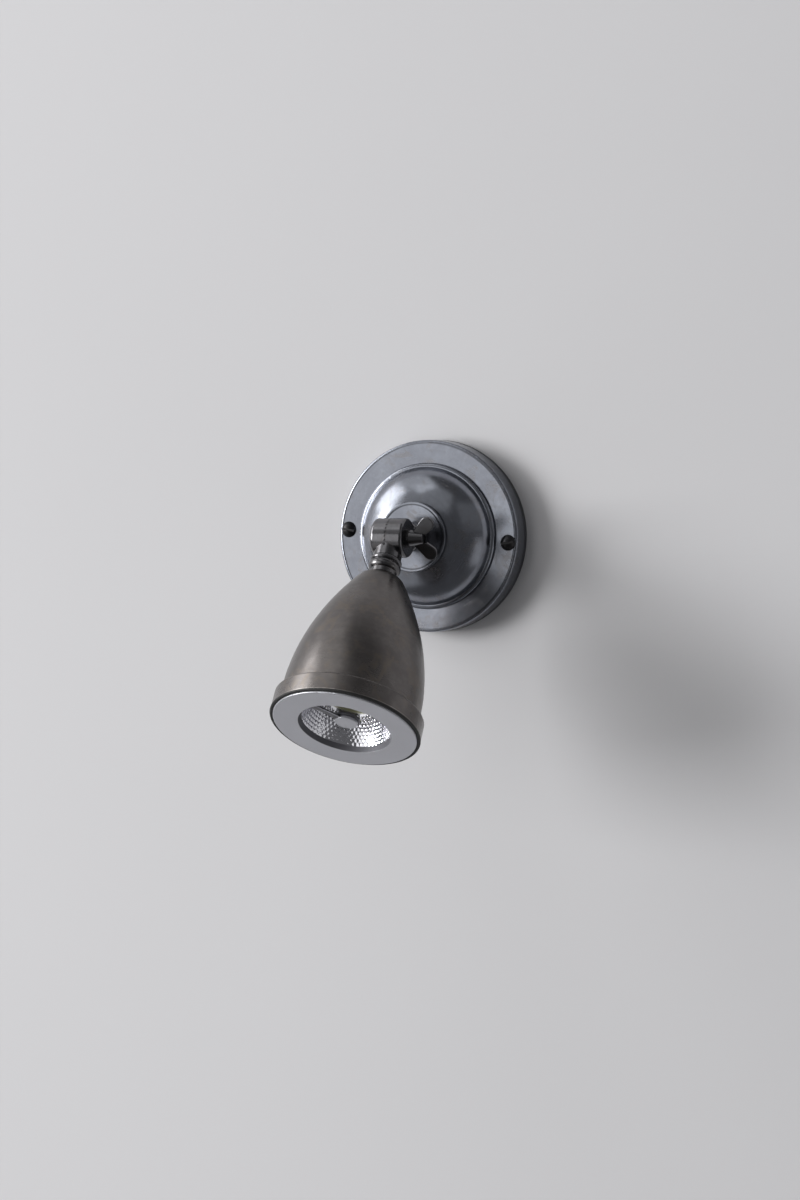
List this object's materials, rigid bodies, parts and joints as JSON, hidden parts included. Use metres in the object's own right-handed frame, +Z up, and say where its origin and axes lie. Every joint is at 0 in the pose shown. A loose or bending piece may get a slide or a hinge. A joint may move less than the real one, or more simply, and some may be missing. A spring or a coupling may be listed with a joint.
{
  "type": "pivoting spotlight wall light",
  "caption": "Pivoting spotlight on a round domed wall plate: a toothed knuckle locked by a wing nut carries a bell shade with a reflector lamp.",
  "frame": {"origin": "centre of the wall plate's back face, on the wall plane", "axes": "+Z up, -Y out of the wall into the room, +X to the right seen from the room"},
  "size_m": [0.0672, 0.1152, 0.1109],
  "materials": {
    "dark_bronze_plate": "satin bronzed plate",
    "dark_bronze_shade": "satin brushed bronze",
    "blackened_steel": "blackened",
    "bronzed_brass": "bronzed",
    "zinc_steel": "zinc plated",
    "brass": "turned",
    "silver_face": "satin silver",
    "chrome_bowl": "faceted mirror",
    "lamp_housing": "cast, matt",
    "black_rubber": "matt",
    "led_phosphor": "yellow phosphor",
    "lamp_foot_plastic": "moulded",
    "holder_ceramic": "glazed steatite",
    "block_plastic": "moulded",
    "board_green": "laminate",
    "live_brown": "wire insulation",
    "neutral_blue": "wire insulation",
    "earth_green": "wire insulation"
  },
  "bodies": {
    "wall": {"base_ring": "blackened_steel", "front_cover": "dark_bronze_plate", "cap_collar": "dark_bronze_plate", "fixing_screws": "blackened_steel", "wall_knuckle": "dark_bronze_plate", "pivot_bolt": "blackened_steel", "stem_nipple": "zinc_steel", "stem_lock_washer": "zinc_steel", "stem_locknut": "zinc_steel", "terminal_bracket": "zinc_steel", "earth_tag": "brass", "terminal_block": "block_plastic", "terminal_barrels": "brass", "terminal_screws": "zinc_steel", "block_screw": "zinc_steel", "live_lead": "live_brown", "neutral_lead": "neutral_blue", "earth_lead": "earth_green"},
    "clamp": {"clamp_washer": "bronzed_brass"},
    "nut": {"wing_nut": "bronzed_brass"},
    "head": {"head_knuckle": "dark_bronze_plate", "neck_nipple": "zinc_steel", "shade_lock_washer": "zinc_steel", "shade_locknut": "zinc_steel", "shade": "dark_bronze_shade", "holder_bracket": "zinc_steel", "lampholder": "holder_ceramic", "holder_screws": "zinc_steel", "holder_contacts": "brass", "lamp_live_lead": "live_brown", "lamp_neutral_lead": "neutral_blue", "rubber_ring": "black_rubber"},
    "lamp": {"lamp_body": "lamp_housing", "lamp_base": "lamp_foot_plastic", "lamp_pins": "zinc_steel", "driver_board": "board_green", "lamp_face_ring": "silver_face", "reflector": "chrome_bowl", "led_bridge": "silver_face", "led_chip": "led_phosphor"}
  },
  "joints": [
    {"name": "head_tilt", "type": "hinge", "parent": "wall", "child": "head", "pos_m": [0, -0.0412, 0], "axis": [1, 0, 0], "range_deg": [-152.8, 37.2]},
    {"name": "clamp_travel", "type": "slide", "parent": "wall", "child": "clamp", "axis": [1, 0, 0], "range_m": [0, 0.0015]},
    {"name": "wing_nut_turn", "type": "hinge", "parent": "clamp", "child": "nut", "pos_m": [0.0095, -0.0412, 0], "axis": [1, 0, 0], "range_deg": [0, 1085]},
    {"name": "lamp_twist", "type": "hinge", "parent": "head", "child": "lamp", "pos_m": [0, -0.06252, -0.03385], "axis": [0, -0.5329, -0.8462], "range_deg": [0, 20]}
  ],
  "couplings": [
    {"joint": "wing_nut_turn", "follows": "clamp_travel", "rad_per_m": 12566}
  ]
}
